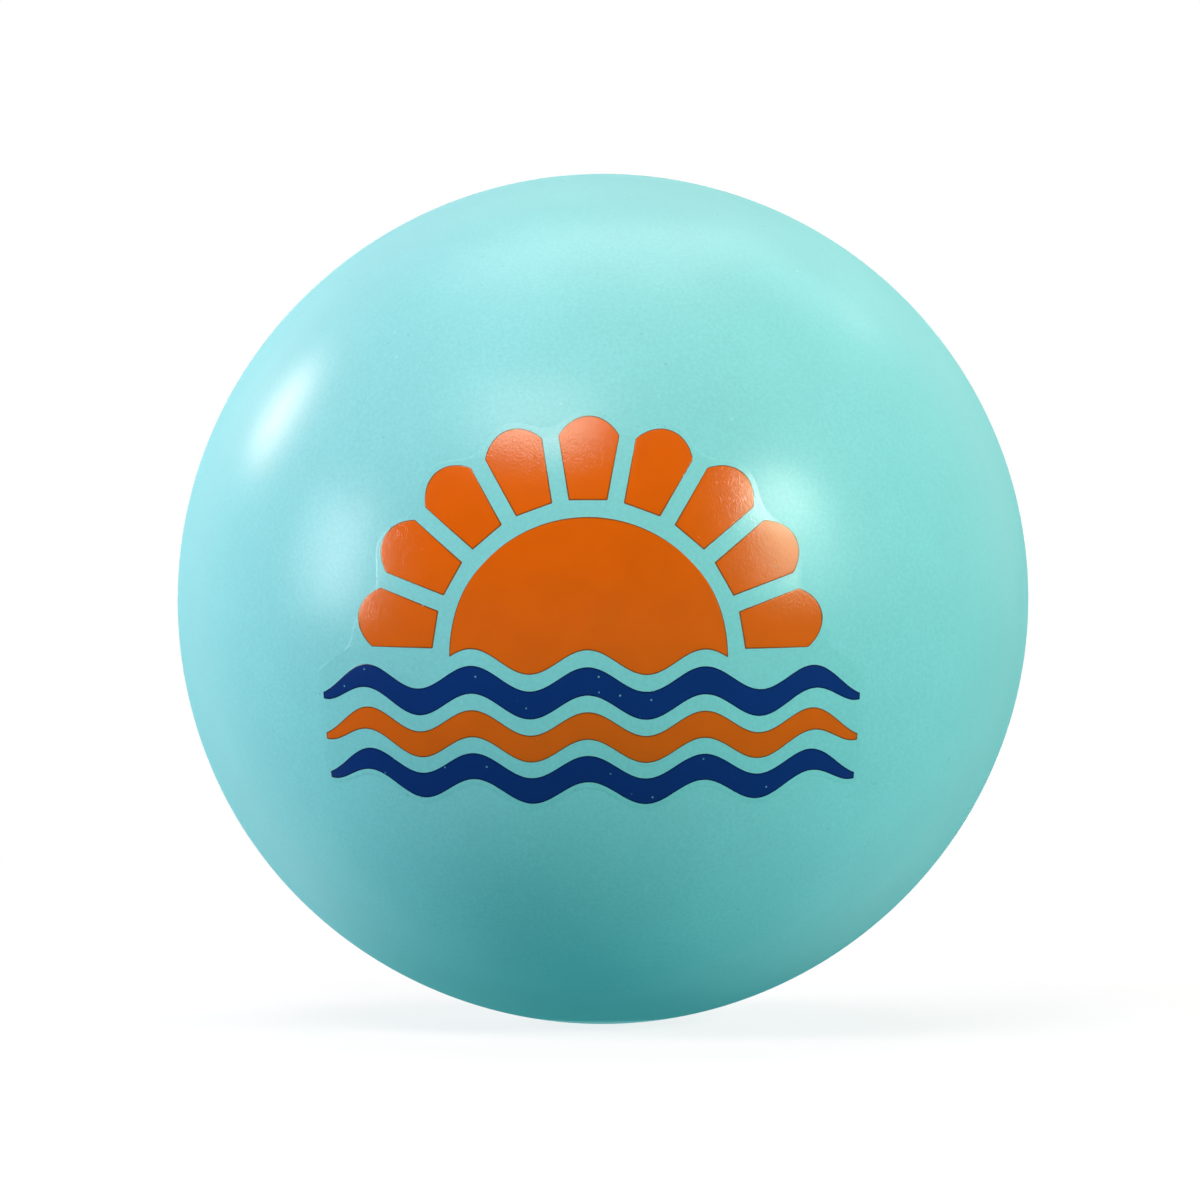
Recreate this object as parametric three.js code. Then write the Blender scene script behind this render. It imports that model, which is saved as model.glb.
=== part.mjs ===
// A hand-sized ball that skips across water: a light foam core inside two soft rubber halves,
// bonded at the equator, with a printed transfer film on the front.
// Millimetres, +Z up, origin at the centre of the ball. The print faces -Y, and the halves meet at y = 0.

import * as THREE from 'three';

// Body of the ball
const BALL_DIAMETER = 60;
const CORE_DIAMETER = 34;
const CORE_CLEARANCE = 0.3;
const BOND_THICKNESS = 0.2;
const BOND_INSET = 0.3;

// Layers of the transfer, counted outwards from the rubber
const LAYER_GAP = 0.08;
const FILM_THICKNESS = 0.08;
const INK_THICKNESS = 0.08;

// Outline of the film around the inks
const FILM_MARGIN = 0.5;
const FILM_SCALLOP = 1.1;
const FILM_FLARE = 1.5;
const FILM_CORNER = 1;

// Bare band that parts one ink island from the next
const INK_BAND = 1.1;

// Half sun with a fan of rays
const SUN_RADIUS = 9.6;
const RAY_COUNT = 9;
const RAY_LENGTH = 6.1;
const RAY_DOME = 1.5;

// Waves below the sun
const WAVE_COUNT = 3;
const WAVE_REACH = 19.8;
const WAVE_WIDTH = 2;
const WAVE_TIP_WIDTH = 0.5;
const WAVE_SPACING = 8;
const WAVE_HEIGHT = 1.7;

// How late a straight edge starts to round off: a higher power keeps it straight for longer
const EDGE_POWER = 8;

// Facets: around the ball, from pole to equator, and across each kind of print
const BALL_SIDES = 64;
const BALL_STEPS = 14;
const CORE_SIDES = 32;
const CORE_STEPS = 8;
const FILM_GRID = 40;
const SUN_GRID = 12;
const RAY_GRID = 5;
const WAVE_LENGTH_STEPS = 40;
const WAVE_WIDTH_STEPS = 2;

const ballRadius = BALL_DIAMETER / 2;
const coreRadius = CORE_DIAMETER / 2;
const pocketRadius = coreRadius + CORE_CLEARANCE;
const seamFace = BOND_THICKNESS / 2;

const filmInside = ballRadius + LAYER_GAP;
const inkInside = filmInside + FILM_THICKNESS + LAYER_GAP;

const rayRoot = SUN_RADIUS + INK_BAND;
const rayTip = rayRoot + RAY_LENGTH;
const raySector = Math.PI / RAY_COUNT;
const wavePitch = WAVE_WIDTH + INK_BAND;
const waterDepth = INK_BAND / 2 + (WAVE_COUNT - 1) * wavePitch + WAVE_HEIGHT + WAVE_WIDTH;

// The horizon, where the sun's base and the first wave meet, is placed so that the print is centred.
const horizon = (waterDepth - rayTip) / 2;

const turquoiseRubber = new THREE.MeshStandardMaterial({ color: 0x86d9d6, roughness: 0.45, metalness: 0 });
const paleFoam = new THREE.MeshStandardMaterial({ color: 0xe6e0cf, roughness: 0.95, metalness: 0 });
const paleGlue = new THREE.MeshStandardMaterial({ color: 0x9fdedb, roughness: 0.6, metalness: 0 });
const clearFilm = new THREE.MeshStandardMaterial({ color: 0x5ed0d0, roughness: 0.25, metalness: 0 });
const orangeInk = new THREE.MeshStandardMaterial({ color: 0xd35e16, roughness: 0.3, metalness: 0 });
const navyInk = new THREE.MeshStandardMaterial({ color: 0x00306e, roughness: 0.3, metalness: 0 });

const ball = new THREE.Group();

function addPiece(name, geometry, material) {
  const piece = new THREE.Mesh(geometry, material);
  piece.name = name;
  ball.add(piece);
}

// Points on a quarter circle in the lathe's half plane, from the pole at height -radius up to
// the level -seamFace just below the equator.
function lowerQuarter(radius, steps) {
  const lastAngle = Math.acos(seamFace / radius);
  return Array.from({ length: steps + 1 }, (_, step) => {
    const angle = lastAngle * step / steps;
    const across = step === 0 ? 0 : radius * Math.sin(angle);
    const height = step === steps ? -seamFace : -radius * Math.cos(angle);
    return new THREE.Vector2(across, height);
  });
}

// One rubber half, turned about the Y axis: the outer dome, the flat seam face and the pocket for the core.
function frontHalf() {
  const dome = lowerQuarter(ballRadius, BALL_STEPS);
  const pocket = lowerQuarter(pocketRadius, CORE_STEPS).reverse();
  return new THREE.LatheGeometry([...dome, ...pocket], BALL_SIDES);
}

function rearHalf() {
  return frontHalf().rotateX(Math.PI);
}

// A flat glue ring that fills the seam, set back from the skin so that a fine groove shows.
function seamBond() {
  const inner = pocketRadius + BOND_INSET;
  const outer = ballRadius - BOND_INSET;
  const section = [
    new THREE.Vector2(inner, -seamFace),
    new THREE.Vector2(outer, -seamFace),
    new THREE.Vector2(outer, seamFace),
    new THREE.Vector2(inner, seamFace),
    new THREE.Vector2(inner, -seamFace),
  ];
  return new THREE.LatheGeometry(section, BALL_SIDES);
}

// Wraps a flat point of the print onto a sphere about the origin. The flat distance from the
// middle of the print becomes the arc length on the ball.
function wrapOnBall(across, up, radius) {
  const reach = Math.hypot(across, up);
  const angle = reach / ballRadius;
  const spread = reach === 0 ? 0 : radius * Math.sin(angle) / reach;
  return [across * spread, -radius * Math.cos(angle), up * spread];
}

// A thin layer of the print. The outline takes x and y from -1 to 1 to a flat point of the print,
// and the slab between the two radii follows the ball.
function printLayer(outline, columns, rows, insideRadius, thickness) {
  const slab = new THREE.BoxGeometry(2, 2, 1, columns, rows, 1);
  const corners = slab.attributes.position;
  for (let index = 0; index < corners.count; index += 1) {
    const [across, up] = outline(corners.getX(index), corners.getY(index));
    const depth = corners.getZ(index) + 0.5;
    const radius = insideRadius + thickness * depth;
    corners.setXYZ(index, ...wrapOnBall(across, up, radius));
  }
  slab.computeVertexNormals();
  return slab;
}

// Height of the water line under its crests, which are at zero.
function swell(across) {
  return WAVE_HEIGHT / 2 * (Math.cos(2 * Math.PI * across / WAVE_SPACING) - 1);
}

// The square is drawn out to an arch over the rays, scalloped between their tips. At the horizon the
// arch flares out to a skirt as wide as the waves, whose shoulders droop with the first wave and
// whose hem follows the last one, with its corners rounded up.
function filmOutline(x, y) {
  const skirt = WAVE_REACH + FILM_MARGIN;
  const nearEnd = Math.abs(x) ** EDGE_POWER;
  const shoulder = swell(skirt * x) * nearEnd * (1 - Math.abs(y));
  if (y > 0) {
    const across = x * Math.sqrt(1 - y * y / 2);
    const up = y * Math.sqrt(1 - x * x / 2);
    const betweenRays = (1 + Math.cos(2 * RAY_COUNT * Math.atan2(up, across))) / 2;
    const arch = rayTip + FILM_MARGIN - FILM_SCALLOP * betweenRays * Math.max(Math.abs(x), y) ** 2;
    const rise = arch * up;
    const width = THREE.MathUtils.lerp(arch, skirt, Math.exp(-((rise / FILM_FLARE) ** 2)));
    return [width * across, horizon + rise + shoulder];
  }
  const hem = waterDepth - WAVE_HEIGHT + FILM_MARGIN - swell(skirt * x) - FILM_CORNER * nearEnd;
  return [skirt * x, horizon + hem * y + shoulder];
}

// The upper half of a square drawn out to a half disc, whose base follows the first wave.
function sunOutline(x, y) {
  const rise = (y + 1) / 2;
  const across = SUN_RADIUS * x * Math.sqrt(1 - rise * rise / 2);
  const dome = SUN_RADIUS * rise * Math.sqrt(1 - x * x / 2);
  const base = INK_BAND / 2 + swell(across);
  return [across, horizon + dome + base * (1 - rise)];
}

// A wedge in the fan, half an ink band clear of its sector's sides, with a domed tip.
function rayOutline(index) {
  const middle = raySector * (index + 0.5);
  return (x, y) => {
    const out = rayRoot + (RAY_LENGTH - RAY_DOME * x * x) * (y + 1) / 2;
    const side = x * (out * Math.tan(raySector / 2) - INK_BAND / 2);
    const across = out * Math.cos(middle) + side * Math.sin(middle);
    const up = out * Math.sin(middle) - side * Math.cos(middle);
    return [across, horizon + up];
  };
}

// A ribbon along the swell that thins towards both of its tips.
function waveOutline(index) {
  const crest = horizon - INK_BAND / 2 - index * wavePitch;
  return (x, y) => {
    const across = WAVE_REACH * x;
    const width = THREE.MathUtils.lerp(WAVE_WIDTH, WAVE_TIP_WIDTH, Math.abs(x) ** EDGE_POWER);
    return [across, crest + swell(across) - WAVE_WIDTH / 2 + width / 2 * y];
  };
}

addPiece('foam_core', new THREE.SphereGeometry(coreRadius, CORE_SIDES, 2 * CORE_STEPS), paleFoam);
addPiece('front_half', frontHalf(), turquoiseRubber);
addPiece('rear_half', rearHalf(), turquoiseRubber);
addPiece('seam_bond', seamBond(), paleGlue);

addPiece('print_film', printLayer(filmOutline, FILM_GRID, FILM_GRID, filmInside, FILM_THICKNESS), clearFilm);

addPiece('sun_print', printLayer(sunOutline, SUN_GRID, SUN_GRID / 2, inkInside, INK_THICKNESS), orangeInk);

for (let index = 0; index < RAY_COUNT; index += 1) {
  const ray = printLayer(rayOutline(index), RAY_GRID, RAY_GRID, inkInside, INK_THICKNESS);
  addPiece(`ray_print_${index + 1}`, ray, orangeInk);
}

for (let index = 0; index < WAVE_COUNT; index += 1) {
  const outline = waveOutline(index);
  const wave = printLayer(outline, WAVE_LENGTH_STEPS, WAVE_WIDTH_STEPS, inkInside, INK_THICKNESS);
  addPiece(`wave_print_${index + 1}`, wave, index % 2 === 0 ? navyInk : orangeInk);
}

export default ball;
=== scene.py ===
"""Looks of a hand-sized ball that skips across water.

A foam core sits inside two soft rubber halves, which a glue line bonds at the equator. A printed transfer
lies on the front: a clear film that carries a half sun, a fan of rays and three waves in glossy ink.
Metres, +Z up, origin at the centre of the ball. The print faces -Y, and the halves meet at y = 0.
"""

import math
from typing import NamedTuple

import bpy
import numpy as np
from bpy.props import FloatProperty, FloatVectorProperty, IntProperty, PointerProperty
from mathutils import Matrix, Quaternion, Vector


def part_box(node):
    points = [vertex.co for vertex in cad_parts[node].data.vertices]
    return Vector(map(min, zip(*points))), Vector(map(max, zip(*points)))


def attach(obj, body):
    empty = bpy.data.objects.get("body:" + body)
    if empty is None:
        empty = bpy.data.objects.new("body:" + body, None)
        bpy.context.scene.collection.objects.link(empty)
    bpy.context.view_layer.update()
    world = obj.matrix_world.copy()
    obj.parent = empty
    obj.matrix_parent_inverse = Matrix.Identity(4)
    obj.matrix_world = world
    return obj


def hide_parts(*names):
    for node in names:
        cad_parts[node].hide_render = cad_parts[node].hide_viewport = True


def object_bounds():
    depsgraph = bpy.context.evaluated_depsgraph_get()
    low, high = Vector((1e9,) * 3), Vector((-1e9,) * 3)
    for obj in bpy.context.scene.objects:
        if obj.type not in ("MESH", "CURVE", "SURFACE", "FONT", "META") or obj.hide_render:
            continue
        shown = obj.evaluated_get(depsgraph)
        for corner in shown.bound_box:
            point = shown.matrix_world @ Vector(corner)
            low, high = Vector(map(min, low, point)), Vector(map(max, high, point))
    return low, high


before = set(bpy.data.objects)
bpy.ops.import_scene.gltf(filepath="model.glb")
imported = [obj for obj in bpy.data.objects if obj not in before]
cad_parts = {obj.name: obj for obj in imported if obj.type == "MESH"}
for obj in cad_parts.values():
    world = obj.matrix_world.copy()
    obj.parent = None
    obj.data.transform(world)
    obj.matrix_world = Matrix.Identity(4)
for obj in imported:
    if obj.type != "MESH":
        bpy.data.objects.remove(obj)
cad_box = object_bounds()

bl_info = {
    "name": "Water Bouncing Ball",
    "version": (1, 0, 0),
    "blender": (4, 5, 0),
    "location": "View3D > Sidebar > Ball",
    "description": "Builds a soft printed ball around its packed frame, with a plain studio",
    "category": "Add Mesh",
}

MM = 0.001
EDGE_DISTANCE = "edge_distance"
WHITE = (1.0, 1.0, 1.0)
BLACK = (0.0, 0.0, 0.0)

# Colour sockets of a Mix node, which has several sockets of each name
MIX_FIRST, MIX_SECOND, MIX_RESULT = 6, 7, 2

# Finish values that more than one material shares
BLOOM_ROUGHNESS = 0.6
COAT_ROUGHNESS = 0.15
COAT_IOR = 1.45
RIPPLE_SIZE = 0.095 * MM
RIPPLE_STRETCH = 2.2
SURFACE_RIPPLE_DEPTH = 0.005 * MM
COAT_RIPPLE_DEPTH = 0.016 * MM


# Lamps

class Lamp(NamedTuple):
    """A softbox, with its angles in degrees. Azimuth 0 is in front of the ball, and 90 on the right."""

    brightness: float
    azimuth: float
    elevation: float
    width: float
    height: float
    tint: tuple = WHITE
    roll: float = 0.0


# Softboxes that light the ball and are seen in its gloss
FULL_LAMPS = {
    "top_softbox": Lamp(3.9, 189.0, 73.8, 0.546, 0.352, (1.0, 0.90, 0.88)),
    "front_softbox": Lamp(8.9, -24.3, 49.6, 0.359, 0.222, (1.0, 0.83, 0.84)),
    "back_softbox": Lamp(1.7, 146.2, 51.4, 0.285, 0.182),
}

# Softboxes that light the ball and aren't seen in its gloss
SOFT_LAMPS = {
    "left_softbox": Lamp(16.6, -78.5, 12.0, 0.315, 0.262, (0.97, 0.90, 1.0)),
    "right_softbox": Lamp(32.0, 54.8, 17.2, 0.217, 0.187, (0.93, 1.0, 0.91)),
    "left_bounce": Lamp(1.2, -112.0, -38.0, 0.35, 0.25),
    "right_bounce": Lamp(1.2, 108.0, -45.0, 0.35, 0.25),
    "rear_fill": Lamp(4.0, 180.0, 5.0, 0.40, 0.40),
}

# Softboxes that are seen in the ball's gloss and don't light it otherwise
SHINE_LAMPS = {
    "strip_shine": Lamp(54.0, -119.5, 25.5, 0.06, 0.16, (1.0, 0.7, 0.66), roll=13.0),
    "left_shine": Lamp(13.0, -72.5, 9.0, 0.14, 0.28, (1.0, 0.82, 0.82)),
    "right_shine": Lamp(5.0, 56.5, 13.0, 0.24, 0.26, (1.0, 0.98, 0.84)),
    "right_spark": Lamp(30.0, 54.0, 26.0, 0.13, 0.13, (1.0, 0.93, 0.82)),
    "back_shine": Lamp(9.0, 133.5, 39.2, 0.08, 0.06),
}

LAMPS = {**FULL_LAMPS, **SOFT_LAMPS, **SHINE_LAMPS}


# Properties

def label_of(name):
    """A name's words as a label."""
    return name.replace("_", " ").capitalize()


def length(name, description, default):
    """A property that holds a length in metres."""
    return FloatProperty(name=name, description=description, default=default, precision=5, unit="LENGTH")


def angle(name, description, degrees):
    """A property that holds an angle, with its default in degrees."""
    return FloatProperty(name=name, description=description, default=math.radians(degrees), unit="ROTATION")


def level(lamp_name):
    """A property that holds a lamp's brightness, where 1 shows as white."""
    label = label_of(lamp_name)
    description = f"Brightness of the {label.lower()}, where 1 shows as white"
    default = LAMPS[lamp_name].brightness
    return FloatProperty(name=label, description=description, default=default, min=0.0, soft_max=50.0)


def colour(name, description, default):
    """A property that holds a linear colour."""
    return FloatVectorProperty(
        name=name, description=description, default=default, size=3, min=0.0, max=1.0, subtype="COLOR"
    )


class BallSizes(bpy.types.PropertyGroup):
    """Sizes of the core, the two halves and the glue line."""

    ball_radius: length("Ball radius", "Outside of the rubber halves", cad_box[1].x)
    core_radius: length("Core radius", "Outside of the foam core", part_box("foam_core")[1].z)
    core_clearance: length("Core clearance", "Gap between the core and its pocket", 0.3 * MM)
    bond_radius: length("Bond radius", "Outside of the glue ring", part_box("seam_bond")[1].x)
    bond_width: length("Bond width", "Width of the glue line in the seam", 2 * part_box("seam_bond")[1].y)
    bond_inset: length("Bond inset", "How far the glue stays clear of the pocket", 0.3 * MM)
    lip_radius: length("Lip radius", "Rounding of each half where it meets the seam", 0.25 * MM)
    unevenness: length("Unevenness", "How far the soft skin waves off a true sphere", 0.05 * MM)
    swelling: length("Swelling", "How far the skin swells out low on the left", 0.15 * MM)
    pit_depth: length("Pit depth", "Depth of the open cells on the foam core", 0.25 * MM)


class PrintSizes(bpy.types.PropertyGroup):
    """Sizes of the transfer film and of the inks on it."""

    film_rise: length("Film rise", "How far the film's top stands off the skin", 0.012 * MM)
    film_edge: length("Film edge", "Width over which the film slopes down at its edge", 0.5 * MM)
    ink_rise: length("Ink rise", "How far the ink's top stands off the skin", 0.022 * MM)
    ink_edge: length("Ink edge", "Width over which the ink slopes down at its edge", 0.15 * MM)
    bedding: length("Bedding", "How far each layer's edge lies in the layer below it", 0.003 * MM)
    press_reach: length("Press reach", "Radius of the skin that the hot press glossed", 18.5 * MM)
    press_fade: length("Press fade", "Width over which that gloss fades out", 4.5 * MM)
    film_margin: length("Film margin", "How far the film reaches past the inks", 0.5 * MM)
    film_scallop: length("Film scallop", "How far the film dips between two rays", 1.1 * MM)
    film_flare: length("Film flare", "Height over which the arch widens to the skirt", 1.5 * MM)
    film_corner: length("Film corner", "How far the skirt's lower corners are rounded up", 1.0 * MM)
    ink_band: length("Ink band", "Bare band that parts one ink island from the next", 1.1 * MM)
    sun_radius: length("Sun radius", "Radius of the half sun", 9.6 * MM)
    ray_count: IntProperty(name="Ray count", description="Rays in the fan", default=9, min=3)
    ray_length: length("Ray length", "Length of each ray", 6.1 * MM)
    ray_dome: length("Ray dome", "How far a ray's tip is domed", 1.5 * MM)
    wave_count: IntProperty(name="Wave count", description="Waves below the sun", default=3, min=1)
    wave_reach: length("Wave reach", "Half the length of a wave", 19.8 * MM)
    wave_width: length("Wave width", "Width of a wave along its middle", 2.0 * MM)
    wave_tip_width: length("Wave tip width", "Width of a wave at its tips", 0.5 * MM)
    wave_spacing: length("Wave spacing", "Distance from crest to crest", 8.0 * MM)
    wave_height: length("Wave height", "Height of a crest over a trough", 1.7 * MM)


class BallColours(bpy.types.PropertyGroup):
    """Colours of the finishes."""

    skin: colour("Skin", "Satin rubber skin", (0.228, 0.602, 0.61))
    film: colour("Film", "Skin as it shows through the clear film", (0.218, 0.597, 0.60))
    orange_ink: colour("Orange ink", "Ink of the sun, the rays and the middle wave", (0.705, 0.104, 0.0005))
    navy_ink: colour("Navy ink", "Ink of the outer waves", (0.002, 0.028, 0.155))
    foam: colour("Foam", "Closed-cell foam of the core", (0.79, 0.74, 0.62))
    glue: colour("Glue", "Cured glue line", (0.35, 0.73, 0.71))


class StageSettings(bpy.types.PropertyGroup):
    """Camera and light. Each lamp's brightness is added below."""

    view_azimuth: angle("View azimuth", "How far the camera stands round to the right of the print", 2.0)
    view_elevation: angle("View elevation", "How far the camera looks down", 1.7)
    view_distance: length("View distance", "From the ball's centre to the camera", 0.6)
    view_width: length("View width", "Width of the picture at the ball's centre", 84.8 * MM)
    aim_left: length("Aim left", "How far left of the centre the camera aims", 0.21 * MM)
    aim_down: length("Aim down", "How far below the centre the camera aims", 0.1 * MM)
    lamp_distance: length("Lamp distance", "From the ball's centre to each softbox", 0.7)
    under_light: colour("Light from below", "Soft light that the set sends up", (0.12, 0.435, 0.455))


StageSettings.__annotations__.update({name: level(name) for name in LAMPS})


# Shapes

def skin_relief(directions, sizes):
    """Height of the soft skin over a true sphere, for unit directions in the last axis.

    Three long waves that run across the ball at odd angles are averaged, and a broad bell-shaped swelling
    low on the left is added.
    """
    wave_lines = np.array([[2.6, 1.1, -1.9], [-1.7, 3.2, 2.4], [3.9, -2.2, 3.1]])
    wave_starts = np.array([0.4, 2.1, 4.4])
    waves = np.sin(directions @ wave_lines.T + wave_starts).mean(axis=-1)
    swollen_side = np.array([-0.80, 0.05, -0.60])
    swelling_spread = 0.12
    bell = np.exp((directions @ swollen_side - 1.0) / swelling_spread)
    return sizes.unevenness * waves + sizes.swelling * bell


def unit(points):
    """The points' directions from the origin."""
    return points / np.maximum(np.linalg.norm(points, axis=-1, keepdims=True), 1e-9)


def grid_index(rows, columns):
    """Vertex numbers of a grid, counted row by row."""
    return np.arange(rows * columns).reshape(rows, columns)


def joined_round(index):
    """A grid of vertex numbers with its first column set again at its end, so that each row closes."""
    return np.concatenate([index, index[:, :1]], axis=1)


def quads_of(index):
    """Four-sided faces between the neighbours of a grid of vertex numbers."""
    corners = [index[:-1, :-1], index[:-1, 1:], index[1:, 1:], index[1:, :-1]]
    return np.stack(corners, axis=-1).reshape(-1, 4)


def full_turn(sides):
    """Angles of that many sides, evenly around a circle."""
    return np.linspace(0.0, 2.0 * np.pi, sides, endpoint=False)


def turned(profile, sides):
    """A profile of (across, along) points turned about the Y axis: (across sin t, along, across cos t)."""
    turn = full_turn(sides)
    across, along = profile[:, :1], profile[:, 1:]
    return np.stack([across * np.sin(turn), along + 0.0 * turn, across * np.cos(turn)], axis=-1)


def turned_solid(profile, sides):
    """Vertices and faces of a profile that starts and ends on the Y axis, turned about it.

    The first vertex is the first pole, the rings follow, and the last vertex is the other pole.
    """
    rings = turned(profile[1:-1], sides).reshape(-1, 3)
    poles = np.array([[0.0, profile[0, 1], 0.0], [0.0, profile[-1, 1], 0.0]])
    index = 1 + joined_round(grid_index(len(profile) - 2, sides))
    first, last = index[0], index[-1]
    start = np.stack([np.zeros_like(first[1:]), first[1:], first[:-1]], axis=-1)
    end = np.stack([np.full_like(last[1:], 1 + len(rings)), last[:-1], last[1:]], axis=-1)
    faces = quads_of(index).tolist() + start.tolist() + end.tolist()
    return np.concatenate([poles[:1], rings, poles[1:]]), faces


def new_mesh(name, points, faces, material):
    """A mesh of that material from an array of points and a list of faces."""
    mesh = bpy.data.meshes.new(name)
    mesh.from_pydata(points.reshape(-1, 3).tolist(), [], faces)
    mesh.materials.append(material)
    return mesh


def new_object(name, data):
    """An object at the origin that holds the data, linked to the scene."""
    made = bpy.data.objects.new(name, data)
    bpy.context.scene.collection.objects.link(made)
    return made


def new_piece(name, points, faces, material, node):
    """A smooth mesh at the origin that stands for a CAD node and rides on the one body."""
    mesh = new_mesh(name, points, faces, material)
    mesh.shade_smooth()
    if mesh.validate():
        raise RuntimeError(f"{name} has faces that Blender had to mend")
    piece = new_object(name, mesh)
    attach(piece, "root")
    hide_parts(node)
    return piece


def half_profile(sizes, dome_steps=150, lip_steps=8, face_steps=8, pocket_steps=40):
    """Outline of one rubber half in the (across, along) plane, from its outer pole to its pocket's pole.

    A quarter circle for the dome, a small quarter circle for the rounded lip, a straight line for the seam
    face, and a quarter circle back for the core's pocket.
    """
    face_level = -sizes.bond_width / 2
    lip_level = face_level - sizes.lip_radius
    lip_across = math.sqrt((sizes.ball_radius - sizes.lip_radius) ** 2 - lip_level**2)
    lip_angle = math.atan2(lip_level, lip_across)
    dome = np.linspace(-np.pi / 2, lip_angle, dome_steps)
    lip = np.linspace(lip_angle, np.pi / 2, lip_steps + 1)[1:]
    pocket_radius = sizes.core_radius + sizes.core_clearance
    pocket = np.linspace(math.asin(face_level / pocket_radius), -np.pi / 2, pocket_steps)
    face = np.linspace(lip_across, pocket_radius * math.cos(pocket[0]), face_steps)[1:-1]
    across = np.concatenate([
        sizes.ball_radius * np.cos(dome),
        lip_across + sizes.lip_radius * np.cos(lip),
        face,
        pocket_radius * np.cos(pocket),
    ])
    along = np.concatenate([
        sizes.ball_radius * np.sin(dome),
        lip_level + sizes.lip_radius * np.sin(lip),
        np.full_like(face, face_level),
        pocket_radius * np.sin(pocket),
    ])
    return np.stack([across, along], axis=-1)


def half_points(sizes, facing, sides=256):
    """Vertices and faces of one half: its outline turned, faced to the front (1) or the rear (-1).

    The skin's relief is added. It fades from its full height at the outside to nothing at the pocket.
    """
    points, faces = turned_solid(half_profile(sizes), sides)
    points = points * np.array([1.0, facing, facing])
    reach = np.linalg.norm(points, axis=-1)
    pocket_radius = sizes.core_radius + sizes.core_clearance
    share = np.clip((reach - pocket_radius) / (sizes.ball_radius - pocket_radius), 0.0, 1.0)
    relief = share * skin_relief(unit(points), sizes)
    return points + unit(points) * relief[:, None], faces


def core_points(sizes, sides=160, steps=90, pits=420, pit_spreads=(0.02, 0.055), seed=5):
    """Vertices and faces of the foam core: a turned half circle with round pits pressed into it.

    Each pit is a bell-shaped dent about a random direction, and the deepest dent at a point counts.
    """
    polar = np.linspace(-np.pi / 2, np.pi / 2, steps)
    points, faces = turned_solid(np.stack([np.cos(polar), np.sin(polar)], axis=-1), sides)
    chance = np.random.default_rng(seed)
    middles = unit(chance.normal(size=(pits, 3)))
    spreads = chance.uniform(*pit_spreads, pits)
    dents = np.exp((points @ middles.T - 1.0) / spreads**2).max(axis=-1)
    return points * (sizes.core_radius - sizes.pit_depth * dents)[:, None], faces


def bead_points(sizes, sides=360, round_steps=9, filled_share=0.95, wander_height=0.04 * MM):
    """Vertices and faces of the glue ring: a flat section with a round outer bead, turned about the Y axis.

    The bead's reach wanders by the mean of three sine waves around the seam, as a wiped glue line does.
    """
    half_width = filled_share * sizes.bond_width / 2
    inner = sizes.core_radius + sizes.core_clearance + sizes.bond_inset
    bead = np.linspace(-np.pi / 2, np.pi / 2, round_steps)
    across = np.concatenate([[inner], sizes.bond_radius + half_width * (np.cos(bead) - 1.0), [inner]])
    along = np.concatenate([[-half_width], half_width * np.sin(bead), [half_width]])
    points = turned(np.stack([across, along], axis=-1), sides)
    waves_around = np.array([7.0, 17.0, 31.0])
    wave_starts = np.array([0.0, 1.0, 2.0])
    wander = wander_height * np.sin(np.outer(full_turn(sides), waves_around) + wave_starts).mean(axis=-1)
    outer_share = (across - inner)[:, None] / (sizes.bond_radius - inner)
    points = points + unit(points) * (outer_share * wander)[..., None]
    index = joined_round(grid_index(len(across), sides))
    index = np.concatenate([index, index[:1]], axis=0)
    return points, quads_of(index).tolist()


def wrapped(across, up, radius):
    """Unit directions of flat print points. Their distance from the middle becomes arc length."""
    reach = np.hypot(across, up)
    spread = np.sinc(reach / radius / np.pi) / radius
    return np.stack([across * spread, -np.cos(reach / radius), up * spread], axis=-1)


def edged_steps(count, inset, edge_steps=6):
    """Steps from -1 to 1: even in the middle, and closer together over the inset at both ends."""
    edge = np.linspace(0.0, inset, edge_steps, endpoint=False)
    return np.concatenate([edge - 1.0, np.linspace(inset - 1.0, 1.0 - inset, count), 1.0 - edge[::-1]])


def sloped_off(steps, inset):
    """Height of a sheet from 0 to 1: a quarter sine wave over the inset at each end, and flat between."""
    return np.sin(np.pi / 2 * np.clip((1.0 - np.abs(steps)) / inset, 0.0, 1.0))


def layer_points(outline, grid, half_size, heights, edge_width, sizes):
    """Vertices, faces and edge distances of a thin print layer that follows the ball.

    The outline takes x and y from -1 to 1 to flat points. The heights of the underside and the top are
    counted from the skin. The top rises from the underside over a sloped edge, and both share the outline's
    vertices.
    """
    base, rise = heights
    insets = [edge_width / half for half in half_size]
    x = edged_steps(grid[0], insets[0])
    y = edged_steps(grid[1], insets[1])
    flat = np.stack(outline(*np.meshgrid(x, y)), axis=-1)
    directions = wrapped(flat[..., 0], flat[..., 1], sizes.ball_radius)
    share = sloped_off(y, insets[1])[:, None] * sloped_off(x, insets[0])
    skin = sizes.ball_radius + skin_relief(directions, sizes)
    top = directions * (skin + base + (rise - base) * share)[..., None]
    under = (directions * (skin + base)[..., None])[1:-1, 1:-1]
    points = np.concatenate([top.reshape(-1, 3), under.reshape(-1, 3)])
    top_index = grid_index(*top.shape[:2])
    under_index = top_index.copy()
    under_index[1:-1, 1:-1] = top_index.size + grid_index(*under.shape[:2])
    faces = np.concatenate([quads_of(top_index), quads_of(under_index)[:, ::-1]]).tolist()
    rims = [flat[:, :1], flat[:, -1:], flat[:1], flat[-1:]]
    edge = np.min([np.linalg.norm(flat - rim, axis=-1) for rim in rims], axis=0)
    edge = np.concatenate([edge.ravel(), np.zeros(len(points) - edge.size)])
    return points, faces, edge


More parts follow.
